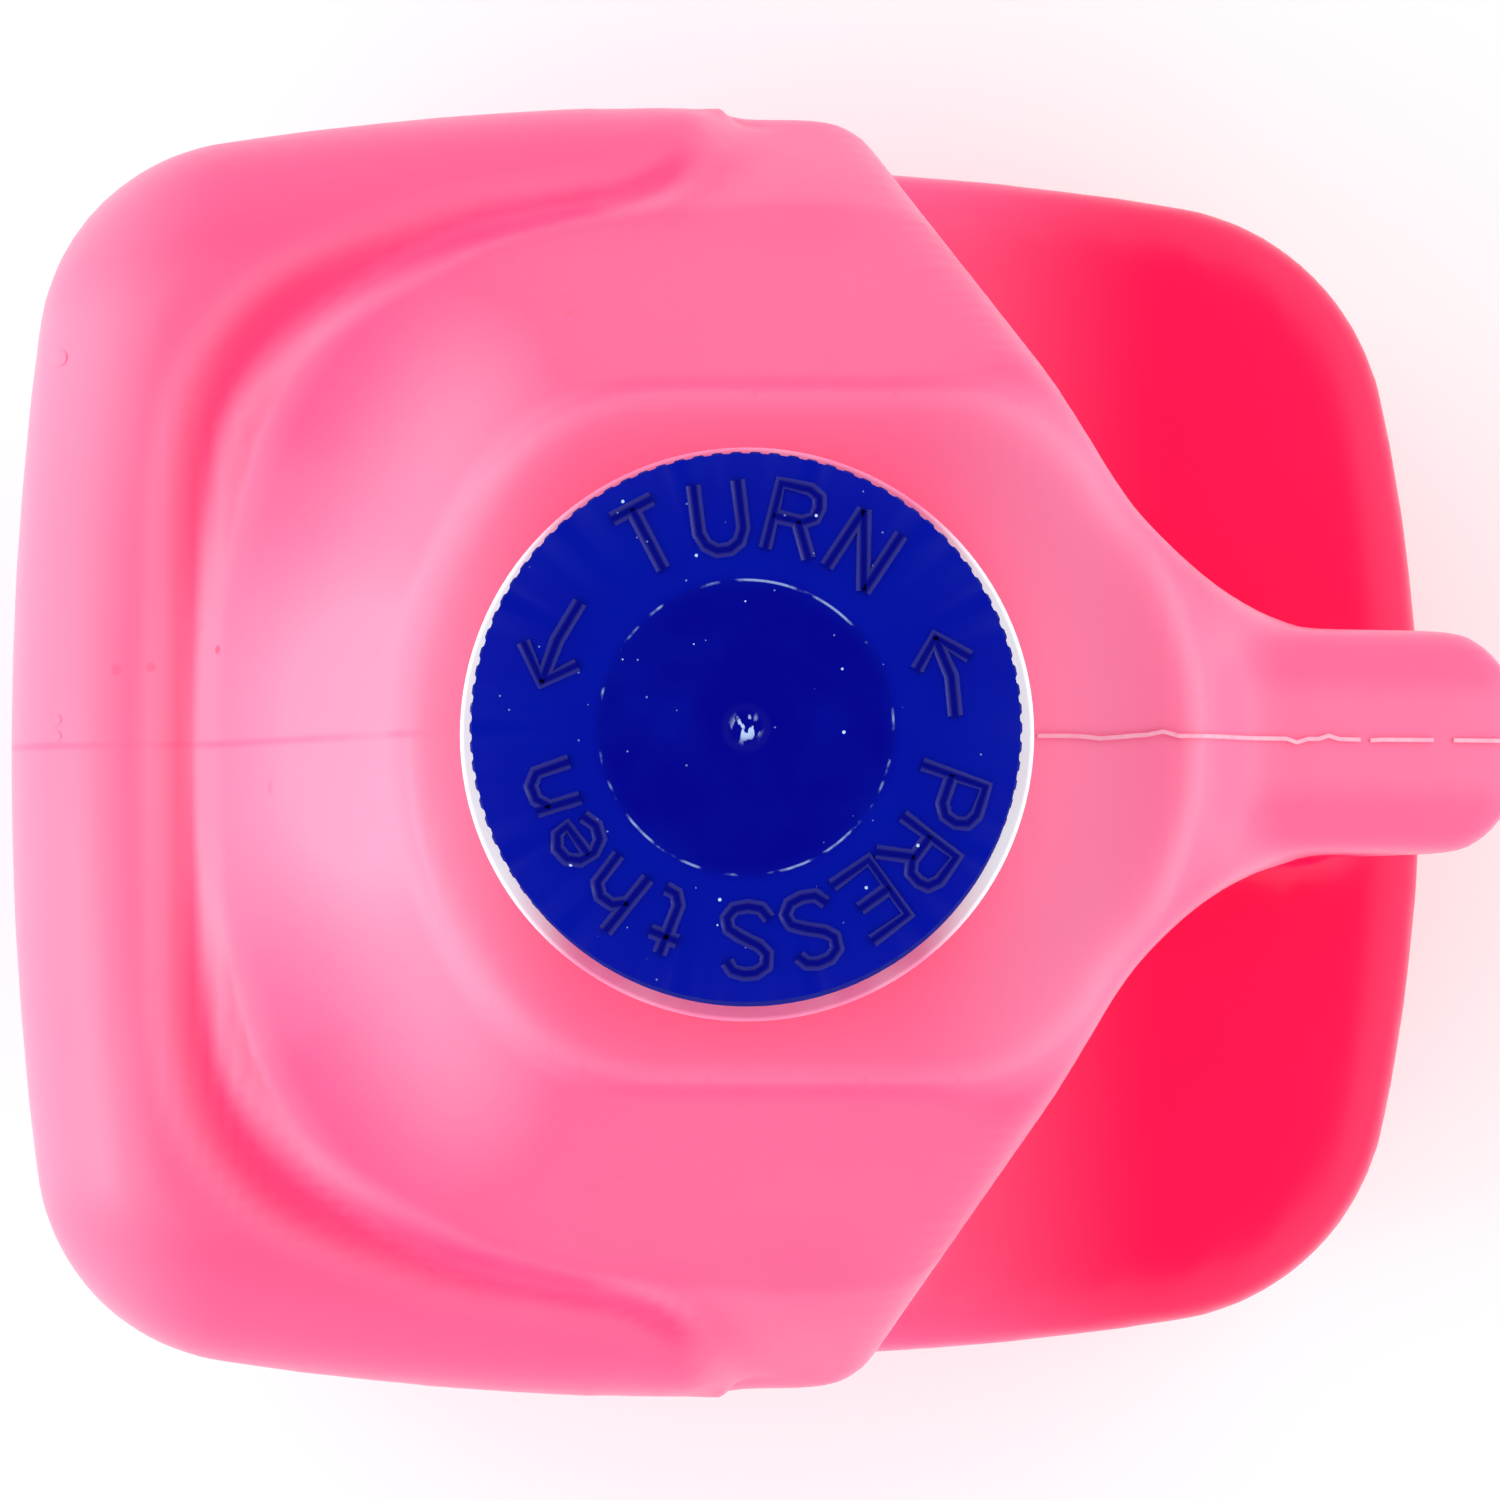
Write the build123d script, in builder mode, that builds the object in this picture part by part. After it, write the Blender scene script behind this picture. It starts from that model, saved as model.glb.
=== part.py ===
"""Half-gallon handled jug of denatured alcohol with a push-and-turn closure, in millimetres.

The neck axis is Z, the stand ring lies on z = 0, and the handle is on +X. The jug is one
blow-moulded piece: a bowed rectangular body with a stepped shoulder, a crown that narrows to
the neck platform, scoops on each side of the handle, and a hollow handle.
"""

import os
from math import cos, radians, sin, tan

from build123d import *

os.makedirs("parts", exist_ok=True)

# Walls
wall = 1.2
liquid_gap = 0.2

# Body, seen from above
body_length = 136.6
body_width = 119.6
handle_end_bow = 8.5
front_end_bow = 4.8
side_bow = 6.0
front_corner_radius = 20.0
back_corner_radius = 25.0

# Body, seen from the side
shoulder_height = 150.0
shoulder_radius = 16.0
heel_radius = 8.0
push_up_depth = 4.0
stand_ring_width = 13.0
push_up_run = 5.0

# Scoops beside the handle
scoop_core_depth = 58.0
scoop_back_depth = 69.0
scoop_floor_core = shoulder_height - scoop_core_depth
scoop_floor_back = shoulder_height - scoop_back_depth
scoop_rim_radius = 6.0
scoop_start = -2.5
notch_radius = 14.0
notch_middle = (0.23, 0.33)
notch_overshoot = 1.5
notch_lean = 1.0

# Crown: the part that narrows from the shoulder to the neck platform. The plans of its foot
# and of the platform are given by their reach to the front, to each side and to the back. The
# foot lies inside the front of the body and outside its sides and back, by three distances
crown_rise = 42.0
platform_height = shoulder_height + crown_rise
platform = (28.4, 28.6, 37.9)
platform_bows = (13.5, 18.0)
platform_radii = (19.0, 12.0)
platform_edge_radius = 4.0
crown_foot_depth = 25.0
crown_foot_height = shoulder_height - crown_foot_depth
crown_foot_front = 7.3
crown_foot_side = 1.2
crown_foot_back = 3.7
crown_foot = (
    body_length / 2 - crown_foot_front,
    body_width / 2 + crown_foot_side,
    body_length / 2 + crown_foot_back,
)
crown_foot_bows = (12.0, 10.0)
crown_foot_radii = (41.0, 15.0)
crown_end = 47.0
crown_root_depth = 10.0
crown_side_inset = 0.3
crown_slant_share = 1.1
cheek_edge_radius = 4.0
wing_radius = 7.0
gap_edge_radius = 4.0

# Cheeks: the walls of the crown that face the scoops. Each runs in from the side of the jug at
# an angle, then bends to lie along the handle. The corner of that bend has its own place
cheek_bend = 37.1
cheek_angle = 61.0
cheek_bend_radius = 25.0
cheek_clearance = 0.3

# Handle: a rounded ring, seen from the side, whose front is inside the crown
handle_half_width = 9.7
handle_thickness = 15.5
handle_end_gap = 1.8
handle_reach = body_length / 2 - handle_end_gap
handle_rounding = 6.5
handle_drop = 3.0
handle_top = platform_height - handle_drop
handle_root = 28.0
handle_slope = 22.0
handle_bend_radius = 30.0
handle_foot_depth = 11.0
handle_foot = scoop_floor_back - handle_foot_depth
ring_front = 10.0
grip_gap_front = 26.0
grip_gap_sink = 4.0
grip_gap_floor = scoop_floor_core - grip_gap_sink
grip_gap_radius = 9.0
grip_cover = 34.0
grip_top = platform_height - grip_cover
grip_gap_lean = 1.0
grip_gap_back_drop = 11.0
grip_gap_front_drop = 7.5
grip_gap_peak = (8.0, 4.5)

# Neck and finish
neck_bore_radius = 15.5
neck_radius = 17.55
neck_root_radius = 22.0
neck_stub_radius = 19.6
ring_radius = 24.2
ring_thickness = 2.6
ring_edge_share = 0.42
neck_flare_height = 1.5
neck_stub_height = 3.8
ring_bottom = platform_height + neck_stub_height
ring_top = ring_bottom + ring_thickness
finish_height = 15.3
finish_top = ring_top + finish_height
lip_radius = 0.6

# Closure
cap_height = 19.0
cap_lid = 1.4
cap_edge_radius = 0.8
rib_count = 90
rib_depth = 0.5
rib_share = 0.4
rib_band_bottom = 1.2
rib_band_top = 1.6
lid_recess_radius = 11.6
lid_recess_depth = 0.25
gate_dimple_radius = 2.2
gate_dimple_depth = 0.4
press_travel = 1.3
lug_count = 12
lug_tip_gap = 0.4
lug_root_gap = 0.2
lug_height = press_travel - lug_tip_gap + lug_root_gap
lug_inner_radius = 12.0
lug_outer_radius = 17.5
lug_share = 0.36
inner_lid = 1.1
inner_wall = 0.95
inner_edge_radius = 0.4
outer_wall = 1.1
thread_depth = 1.5
shell_gap = 0.3
retaining_bead = 0.8
bead_chamfer = 0.4
foot_chamfer = 0.3
foot_flare = 0.3
lid_overhang = 0.1
lid_corner = 0.4
liner_thickness = 1.2
liner_clearance = 0.45

# Fill
headspace = 22.3
fill_height = platform_height - headspace


def body_plan(height, inset=0.0):
    """Bowed rectangle with rounded corners, on a level plane."""
    half_width = body_width / 2 - inset
    half_length = body_length / 2 - inset
    with BuildSketch(Plane.XY.offset(height)) as plan:
        with BuildLine():
            corner_y = half_width - side_bow
            front_x = front_end_bow - half_length
            back_x = half_length - handle_end_bow
            ThreePointArc((front_x, -corner_y), (-half_length, 0), (front_x, corner_y))
            ThreePointArc((front_x, corner_y), (0, half_width), (back_x, corner_y))
            ThreePointArc((back_x, corner_y), (half_length, 0), (back_x, -corner_y))
            ThreePointArc((back_x, -corner_y), (0, -half_width), (front_x, -corner_y))
        make_face()
        fillet(plan.vertices().sort_by(Axis.X)[:2], front_corner_radius - inset)
        fillet(plan.vertices().sort_by(Axis.X)[-2:], back_corner_radius - inset)
    return plan.sketch


def crown_plan(height, reach, bows, radii, inset):
    """Level section of the crown: bowed ends and straight sides, with rounded corners."""
    front, half_width, back = (distance - inset for distance in reach)
    front_bow, back_bow = bows
    front_radius, back_radius = (radius - inset for radius in radii)
    with BuildSketch(Plane.XY.offset(height)) as plan:
        with BuildLine():
            front_x = -front + front_bow
            back_x = back - back_bow
            ThreePointArc((front_x, -half_width), (-front, 0), (front_x, half_width))
            Line((front_x, half_width), (back_x, half_width))
            ThreePointArc((back_x, half_width), (back, 0), (back_x, -half_width))
            Line((back_x, -half_width), (front_x, -half_width))
        make_face()
        fillet(plan.vertices().sort_by(Axis.X)[:2], front_radius)
        fillet(plan.vertices().sort_by(Axis.X)[-2:], back_radius)
    return plan.sketch


def scoop_profile(inset):
    """Side view of what the scoops take from the body, above the floor beside the handle."""
    floor_slope = (scoop_floor_back - scoop_floor_core) / (body_length / 2)
    far = body_length
    with BuildSketch(Plane.XZ) as profile:
        with BuildLine():
            across, down = (share * notch_radius for share in notch_middle)
            notch = ThreePointArc(
                (scoop_start - notch_radius, shoulder_height + notch_overshoot),
                (scoop_start - across, shoulder_height - down),
                (scoop_start, shoulder_height - notch_radius),
            )
            Polyline(
                notch @ 1,
                (scoop_start + notch_lean, scoop_floor_core),
                (far, scoop_floor_core + far * floor_slope),
                (far, shoulder_height + notch_radius),
                (scoop_start - notch_radius, shoulder_height + notch_radius),
                notch @ 0,
            )
        make_face()
        if inset:
            offset(amount=inset, kind=Kind.INTERSECTION)
    return profile.sketch


def cheek_plan(inset):
    """Plan of what is cut away from the crown on the +Y side, beside the handle."""
    far = body_length
    root_y = handle_half_width + cheek_clearance - inset
    slope = tan(radians(cheek_angle))
    bend_x = cheek_bend - inset / sin(radians(cheek_angle)) + inset / slope
    with BuildSketch(Plane.XY.offset(scoop_floor_core / 2)) as plan:
        with BuildLine():
            Polyline(
                (bend_x, root_y),
                (far, root_y),
                (far, far),
                (bend_x - (far - root_y) / slope, far),
                close=True,
            )
        make_face()
        bend = plan.vertices().sort_by_distance((bend_x, root_y))[0]
        fillet(bend, cheek_bend_radius + inset)
    return plan.sketch


def grip_gap(inset=0.0):
    """Side view of the finger gap between the crown and the handle."""
    gap_back = handle_reach - handle_thickness
    low = grip_gap_floor
    peak_x, peak_z = grip_gap_peak
    with BuildSketch(Plane.XZ) as profile:
        with BuildLine():
            Polyline(
                (grip_gap_front, low),
                (gap_back + grip_gap_lean, low),
                (gap_back - grip_gap_lean, grip_top - grip_gap_back_drop),
                (grip_gap_front + peak_x, grip_top + peak_z),
                (grip_gap_front - grip_gap_lean, grip_top - grip_gap_front_drop),
                close=True,
            )
        make_face()
        fillet(profile.vertices(), grip_gap_radius)
        if inset:
            offset(amount=inset, kind=Kind.ARC)
    return profile.sketch


def handle_form(inset):
    """Rounded ring of the handle, with its root in the crown and its foot in the body."""
    with BuildPart() as ring:
        with BuildSketch(Plane.XZ) as profile:
            slope = radians(handle_slope)
            back_x = handle_reach - inset
            top_z = handle_top - inset / cos(slope)
            bend_z = top_z - (back_x - handle_root) * tan(slope)
            with BuildLine():
                Polyline(
                    (handle_root, top_z),
                    (back_x, bend_z),
                    (back_x, handle_foot),
                    (ring_front, handle_foot),
                    (ring_front, top_z),
                    close=True,
                )
            make_face()
            bend = profile.vertices().sort_by_distance((back_x, 0, bend_z))[0]
            fillet(bend, handle_bend_radius - inset)
        extrude(amount=handle_half_width - inset, both=True)
        extrude(grip_gap(inset), amount=handle_half_width, both=True, mode=Mode.SUBTRACT)
        sides = ring.faces().filter_by(Axis.Y)
        fillet(sides.edges(), handle_rounding - inset)
    return ring.part


def is_wing_edge(edge):
    """Upright edges where the cheeks meet the sides of the jug."""
    box = edge.bounding_box()
    upright = box.max.Z - box.min.Z > 40 and box.max.X - box.min.X < 1
    return upright and abs(box.center().Y) > body_width / 2 - 5 and box.min.X > 0


def is_cheek_edge(edge):
    """Edges between the slopes of the crown and its cheeks."""
    box = edge.bounding_box()
    runs_back = box.max.X - box.min.X > 5 and box.max.Z - box.min.Z > 5
    return runs_back and box.max.Z > grip_top + 4 and box.min.X > 0 and abs(box.center().Y) > 5


def is_gap_edge(edge):
    """Edges of the finger gap on the two cheeks."""
    box = edge.bounding_box()
    in_gap = box.min.X > grip_gap_front - 3 and box.max.Z < grip_top + 2
    return in_gap and box.min.Z > grip_gap_floor - 2 and abs(box.center().Y) > 5


def crown_form(inset):
    """Crown with its cheeks, cut off at the front of the finger gap."""
    slant_inset = inset * crown_slant_share
    with BuildPart() as crown:
        foot_plan = crown_plan(crown_foot_height, crown_foot, crown_foot_bows, crown_foot_radii, slant_inset)
        top_plan = crown_plan(platform_height - inset, platform, platform_bows, platform_radii, slant_inset)
        loft([foot_plan.face(), top_plan.face()])
        foot = crown.faces().sort_by(Axis.Z)[0]
        extrude(foot, amount=crown_foot_height - scoop_floor_back + crown_root_depth, dir=(0, 0, -1))
        side_plan = body_plan(scoop_floor_back - 2 * crown_root_depth, inset + crown_side_inset)
        extrude(side_plan, amount=platform_height, mode=Mode.INTERSECT)
        cheek = cheek_plan(inset)
        extrude(cheek, amount=platform_height, mode=Mode.SUBTRACT)
        extrude(mirror(cheek, about=Plane.XZ, mode=Mode.PRIVATE), amount=platform_height, mode=Mode.SUBTRACT)
        with BuildSketch(Plane.XZ):
            with Locations((crown_end - inset + body_length / 2, platform_height / 2)):
                Rectangle(body_length, 2 * platform_height)
        extrude(amount=body_width, both=True, mode=Mode.SUBTRACT)
        extrude(grip_gap(inset), amount=body_width, both=True, mode=Mode.SUBTRACT)
        wing_edges = [e for e in crown.edges() if is_wing_edge(e)]
        fillet(wing_edges, wing_radius - inset)
        cheek_edges = [e for e in crown.edges() if is_cheek_edge(e)]
        fillet(cheek_edges, cheek_edge_radius - inset / 2)
        fillet(crown.faces().sort_by(Axis.Z)[-1].edges(), platform_edge_radius - inset / 2)
        gap_edges = [e for e in crown.edges() if is_gap_edge(e)]
        fillet(gap_edges, gap_edge_radius - inset)
    return crown.part


def is_rim_edge(edge):
    """Outer edges of the floor beside the handle."""
    box = edge.bounding_box()
    low = box.max.Z < scoop_floor_core + 1 and box.min.Z > scoop_floor_back - 5
    return low and box.max.X - box.min.X > 3


def jug_form(inset):
    """Outer form of the jug below the neck, or the same form moved in by a wall."""
    crown = crown_form(inset)
    handle = handle_form(inset)
    with BuildPart() as form:
        extrude(body_plan(inset, inset), amount=shoulder_height - 2 * inset)
        top_edges = form.faces().sort_by(Axis.Z)[-1].edges()
        fillet(top_edges, shoulder_radius - inset)
        heel_edges = form.faces().sort_by(Axis.Z)[0].edges()
        fillet(heel_edges, heel_radius - inset)
        extrude(scoop_profile(inset), amount=body_width, both=True, mode=Mode.SUBTRACT)
        rim_edges = [e for e in form.edges() if is_rim_edge(e)]
        fillet(rim_edges, scoop_rim_radius - inset)
        add(crown)
        extrude(grip_gap(inset), amount=body_width, both=True, mode=Mode.SUBTRACT)
        add(handle)
        push_up_foot = body_plan(0, stand_ring_width - inset)
        push_up_top = body_plan(push_up_depth + inset, stand_ring_width + push_up_run)
        loft([push_up_foot.face(), push_up_top.face()], mode=Mode.SUBTRACT)
    return form.part


def ribbed_circle(root, tip):
    """Corners of a ribbed circle: each rib has a flat top that takes a share of the pitch."""
    pitch = 360 / rib_count
    corners = []
    for index in range(rib_count):
        for radius, turn in ((root, -0.5), (tip, -rib_share / 2), (tip, rib_share / 2)):
            angle = radians((index + turn) * pitch)
            corners.append((radius * cos(angle), radius * sin(angle)))
    return corners


def lug_ring(height, first_angle):
    """Plan of the lugs that lock the two shells of the closure together."""
    width = radians(360 / lug_count * lug_share) * (lug_inner_radius + lug_outer_radius) / 2
    with BuildSketch(Plane.XY.offset(height)) as lugs:
        with PolarLocations((lug_inner_radius + lug_outer_radius) / 2, lug_count, first_angle):
            Rectangle(lug_outer_radius - lug_inner_radius, width)
    return lugs.sketch


# Bottle
outer = jug_form(0)
cavity = jug_form(wall)
with BuildPart() as bottle:
    add(outer)
    with BuildSketch(Plane.XZ) as neck_profile:
        with BuildLine():
            Polyline(
                (neck_bore_radius / 2, platform_height - wall / 2),
                (neck_root_radius, platform_height - wall / 2),
                (neck_stub_radius, platform_height + neck_flare_height),
                (neck_stub_radius, ring_bottom),
                (ring_radius, ring_bottom),
                (ring_radius, ring_top),
                (neck_radius, ring_top),
                (neck_radius, finish_top),
                (neck_bore_radius / 2, finish_top),
                close=True,
            )
        make_face()
        rims = [v for v in neck_profile.vertices() if v.X > ring_radius - 0.1]
        fillet(rims, ring_thickness * ring_edge_share)
        lips = [v for v in neck_profile.vertices() if v.Z > finish_top - 0.1 and v.X > neck_bore_radius]
        fillet(lips, lip_radius)
    revolve(axis=Axis.Z)
    add(cavity, mode=Mode.SUBTRACT)
    with BuildSketch(Plane.XY.offset(platform_height - 3 * wall)):
        Circle(neck_bore_radius)
    extrude(amount=finish_top, mode=Mode.SUBTRACT)
bottle.part.label = "bottle"

# Fill, level with the open air of the headspace
fill_inset = wall + liquid_gap
with BuildPart() as alcohol:
    add(jug_form(fill_inset))
    with BuildSketch(Plane.XY.offset(fill_height)):
        Rectangle(2 * body_length, 2 * body_width)
    extrude(amount=platform_height, mode=Mode.SUBTRACT)
alcohol.part.label = "alcohol"

# Heights of the closure, from the seal on the lip up, and its radii, from the thread out
inner_lid_under = finish_top + liner_thickness
inner_top = inner_lid_under + inner_lid
lid_under = inner_top + 2 * lug_height + lug_tip_gap
cap_top = lid_under + cap_lid
cap_foot = cap_top - cap_height
inner_foot = cap_foot + rib_band_bottom + shell_gap
thread_major_radius = neck_radius + thread_depth
liner_radius = thread_major_radius - liner_clearance
inner_radius = thread_major_radius + inner_wall
shell_radius = inner_radius + shell_gap
rib_root_radius = shell_radius + outer_wall
rib_tip_radius = rib_root_radius + rib_depth
cap_top_radius = rib_root_radius + lid_overhang
cap_foot_radius = rib_tip_radius + foot_flare

# Inner shell
with BuildPart() as inner_cap:
    with BuildSketch(Plane.XY.offset(inner_foot)):
        Circle(inner_radius)
    extrude(amount=inner_top - inner_foot)
    fillet(inner_cap.edges().sort_by(Axis.Z)[-1], inner_edge_radius)
    with BuildSketch(Plane.XY.offset(inner_foot)):
        Circle(thread_major_radius)
    extrude(amount=inner_lid_under - inner_foot, mode=Mode.SUBTRACT)
    extrude(lug_ring(inner_top, 180 / lug_count), amount=lug_height)
inner_cap.part.label = "inner_cap"

# Outer shell: a foot band with the retaining bead, a ribbed wall and a lid
rib_foot = cap_foot + rib_band_bottom
rib_top = cap_top - rib_band_top
with BuildPart() as outer_cap:
    with BuildSketch(Plane.XY.offset(rib_foot)) as ribs:
        with BuildLine():
            Polyline(*ribbed_circle(rib_root_radius, rib_tip_radius), close=True)
        make_face()
        Circle(shell_radius, mode=Mode.SUBTRACT)
    extrude(amount=rib_top - rib_foot)
    with BuildSketch(Plane.XZ) as foot_profile:
        with BuildLine():
            bead_radius = shell_radius - retaining_bead
            Polyline(
                (bead_radius, rib_foot),
                (bead_radius, cap_foot + bead_chamfer),
                (bead_radius + bead_chamfer, cap_foot),
                (cap_foot_radius - foot_chamfer, cap_foot),
                (cap_foot_radius, cap_foot + foot_chamfer),
                (cap_foot_radius, rib_foot),
                close=True,
            )
        make_face()
    revolve(axis=Axis.Z)
    with BuildSketch(Plane.XZ) as lid_profile:
        with BuildLine():
            Polyline(
                (0, lid_under),
                (shell_radius - lid_corner, lid_under),
                (shell_radius, lid_under - lid_corner),
                (shell_radius, rib_top),
                (cap_top_radius, rib_top),
                (cap_top_radius, cap_top),
                (lid_recess_radius, cap_top),
                (lid_recess_radius - lid_recess_depth, cap_top - lid_recess_depth),
                (gate_dimple_radius, cap_top - lid_recess_depth),
                (gate_dimple_radius / 2, cap_top - lid_recess_depth - gate_dimple_depth),
                (0, cap_top - lid_recess_depth - gate_dimple_depth),
                close=True,
            )
        make_face()
        rim = [v for v in lid_profile.vertices() if v.X > cap_top_radius - 0.1 and v.Z > cap_top - 0.1]
        fillet(rim, cap_edge_radius)
    revolve(axis=Axis.Z)
    extrude(lug_ring(lid_under, 0), amount=-lug_height)
outer_cap.part.label = "outer_cap"

# Foam disc that seals the mouth
with BuildPart() as cap_liner:
    with BuildSketch(Plane.XY.offset(finish_top)):
        Circle(liner_radius)
    extrude(amount=inner_lid_under - finish_top)
cap_liner.part.label = "cap_liner"

for piece in (bottle, alcohol, inner_cap, outer_cap, cap_liner):
    export_step(piece.part, f"parts/{piece.part.label}.step")
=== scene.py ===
# %% [markdown]
# # A half-gallon jug of pink alcohol
# This lesson dresses a imported CAD model: a blow-moulded jug with a handle, filled with a dyed
# liquid, and its blue push-and-turn closure. The CAD solids fix every size and every motion. The
# lesson adds what moulding, filling and handling give to the surface, and it lights the jug for a
# picture taken from straight above.
#
# First the imported model is loaded.

# %% Load the imported model
from math import cos, pi, radians, sin

import bmesh
import bpy
from mathutils import Matrix, Vector
from mathutils.kdtree import KDTree


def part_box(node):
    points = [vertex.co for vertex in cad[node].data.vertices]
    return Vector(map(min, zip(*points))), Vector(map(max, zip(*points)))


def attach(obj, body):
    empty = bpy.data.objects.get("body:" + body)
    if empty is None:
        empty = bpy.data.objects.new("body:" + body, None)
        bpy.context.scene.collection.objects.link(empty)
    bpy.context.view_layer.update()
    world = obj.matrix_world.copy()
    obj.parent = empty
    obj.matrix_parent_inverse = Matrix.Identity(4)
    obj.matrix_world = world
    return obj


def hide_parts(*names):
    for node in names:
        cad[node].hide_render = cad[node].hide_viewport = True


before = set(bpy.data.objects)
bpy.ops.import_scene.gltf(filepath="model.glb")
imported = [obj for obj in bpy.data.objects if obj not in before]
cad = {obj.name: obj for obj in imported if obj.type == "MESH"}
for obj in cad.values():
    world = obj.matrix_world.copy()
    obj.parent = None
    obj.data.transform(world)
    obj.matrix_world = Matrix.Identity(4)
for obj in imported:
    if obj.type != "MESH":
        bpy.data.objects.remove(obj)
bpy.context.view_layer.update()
MM = 0.001
print("nodes:", sorted(cad))

# %% [markdown]
# The picture is taken from 0.69 m above the table, almost straight over the neck, with a long
# lens. The camera comes first, because every later choice is judged through it. A long lens from
# this distance makes the cap, which is 220 mm nearer to the camera than the table, look almost
# half as large again as it would there, and that tells the eye how tall the jug is.

# %% Set the camera
camera_height = 0.690
camera_back = 0.0120
camera_right = 0.0021
camera_lean = radians(1.246)
camera_roll = radians(0.216)
camera_lens = 144.3

camera = bpy.data.objects.new("camera", bpy.data.cameras.new("camera"))
camera.location = (camera_right, -camera_back, camera_height)
camera.rotation_euler = (camera_lean, camera_roll, 0)
camera.data.lens = camera_lens
camera.data.sensor_width = 36
camera.data.clip_start = 0.01
bpy.context.scene.collection.objects.link(camera)
bpy.context.scene.camera = camera
print("camera", tuple(round(v, 4) for v in camera.location))

# %% [markdown]
# The light in such a picture comes from large softboxes on the left and the right, and the
# ceiling over the camera is dark. Flat faces that look up then reflect nothing bright, so the blue
# lid and the red floors beside the handle keep their full colour, and only the slopes that face a
# softbox turn milky. The sky of the scene is made the same way: bright near the horizon, dark
# overhead, and dimmer to the front and the back than to the sides. The wall's colour has the pale
# slopes and the deep red floors painted into it as well, as painted light and painted shade.

# %% Light the scene
world = bpy.data.worlds.new("studio")
bpy.context.scene.world = world
world.use_nodes = True
sky = world.node_tree.nodes
sky_links = world.node_tree.links
sky.clear()
sky_place = sky.new("ShaderNodeTexCoord")
sky_split = sky.new("ShaderNodeSeparateXYZ")
sky_height = sky.new("ShaderNodeMapRange")
sky_left = sky.new("ShaderNodeMapRange")
sky_right = sky.new("ShaderNodeMapRange")
sky_sides = sky.new("ShaderNodeMath")
sky_product = sky.new("ShaderNodeMath")
sky_light = sky.new("ShaderNodeBackground")
sky_out = sky.new("ShaderNodeOutputWorld")
for node, limits in (
    (sky_height, (0.72, 0.94, 1.0, 0.01)),
    (sky_left, (-0.80, -0.10, 0.35, 0.0)),
    (sky_right, (0.20, 0.90, 0.0, 0.60)),
):
    node.interpolation_type = "SMOOTHSTEP"
    for socket, limit in zip(("From Min", "From Max", "To Min", "To Max"), limits):
        node.inputs[socket].default_value = limit
sky_links.new(sky_place.outputs["Generated"], sky_split.inputs[0])
sky_links.new(sky_split.outputs["Z"], sky_height.inputs["Value"])
sky_links.new(sky_split.outputs["X"], sky_left.inputs["Value"])
sky_links.new(sky_split.outputs["X"], sky_right.inputs["Value"])
sky_sides.operation = "ADD"
sky_links.new(sky_left.outputs[0], sky_sides.inputs[0])
sky_links.new(sky_right.outputs[0], sky_sides.inputs[1])
sky_base = sky.new("ShaderNodeMath")
sky_base.operation = "ADD"
sky_base.inputs[1].default_value = 1.95
sky_links.new(sky_sides.outputs[0], sky_base.inputs[0])
sky_product.operation = "MULTIPLY"
sky_links.new(sky_height.outputs[0], sky_product.inputs[0])
sky_links.new(sky_base.outputs[0], sky_product.inputs[1])
sky_links.new(sky_product.outputs[0], sky_light.inputs["Strength"])
sky_links.new(sky_light.outputs[0], sky_out.inputs["Surface"])


def softbox(name, place, target, size, power):
    """A square area lamp that points from its place to a target."""
    lamp = bpy.data.objects.new(name, bpy.data.lights.new(name, "AREA"))
    lamp.location = place
    aim = Vector(target) - Vector(place)
    lamp.rotation_euler = aim.to_track_quat("-Z", "Y").to_euler()
    lamp.data.size = size
    lamp.data.energy = power
    bpy.context.scene.collection.objects.link(lamp)
    return lamp


softbox("left_softbox", (-0.70, -0.12, 0.42), (0, 0, 0.12), 0.30, 1.0)
bpy.context.scene.view_settings.view_transform = "Standard"

# %% [markdown]
# The floor is a plain pale sheet, far larger than the jug. It is part of the stage and not of the
# object. Paper is never quite one colour, so a faint cloud of noise breaks it up. It is a little
# cool, because the jug throws pink light on the paper round it and the picture's paper is white.

# %% Lay the floor


def new_material(name):
    """A node material with an empty tree, and its nodes and links."""
    material = bpy.data.materials.new(name)
    material.use_nodes = True
    nodes = material.node_tree.nodes
    links = material.node_tree.links
    nodes.clear()
    shader = nodes.new("ShaderNodeBsdfPrincipled")
    output = nodes.new("ShaderNodeOutputMaterial")
    links.new(shader.outputs[0], output.inputs["Surface"])
    return material, nodes, links, shader


def object_noise(nodes, links, scale, detail=2.0, roughness=0.5, stretch=(1, 1, 1)):
    """Noise on Object coordinates, stretched as a Mapping node says."""
    place = nodes.new("ShaderNodeTexCoord")
    mapping = nodes.new("ShaderNodeMapping")
    mapping.inputs["Scale"].default_value = stretch
    noise = nodes.new("ShaderNodeTexNoise")
    noise.inputs["Scale"].default_value = scale
    noise.inputs["Detail"].default_value = detail
    noise.inputs["Roughness"].default_value = roughness
    links.new(place.outputs["Object"], mapping.inputs["Vector"])
    links.new(mapping.outputs[0], noise.inputs["Vector"])
    return noise.outputs["Fac"]


def ramp(nodes, links, value, low, high, to_low=0.0, to_high=1.0):
    """Smooth step of a value between two limits."""
    step = nodes.new("ShaderNodeMapRange")
    step.interpolation_type = "SMOOTHSTEP"
    step.inputs["From Min"].default_value = low
    step.inputs["From Max"].default_value = high
    step.inputs["To Min"].default_value = to_low
    step.inputs["To Max"].default_value = to_high
    links.new(value, step.inputs["Value"])
    return step.outputs[0]


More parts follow.
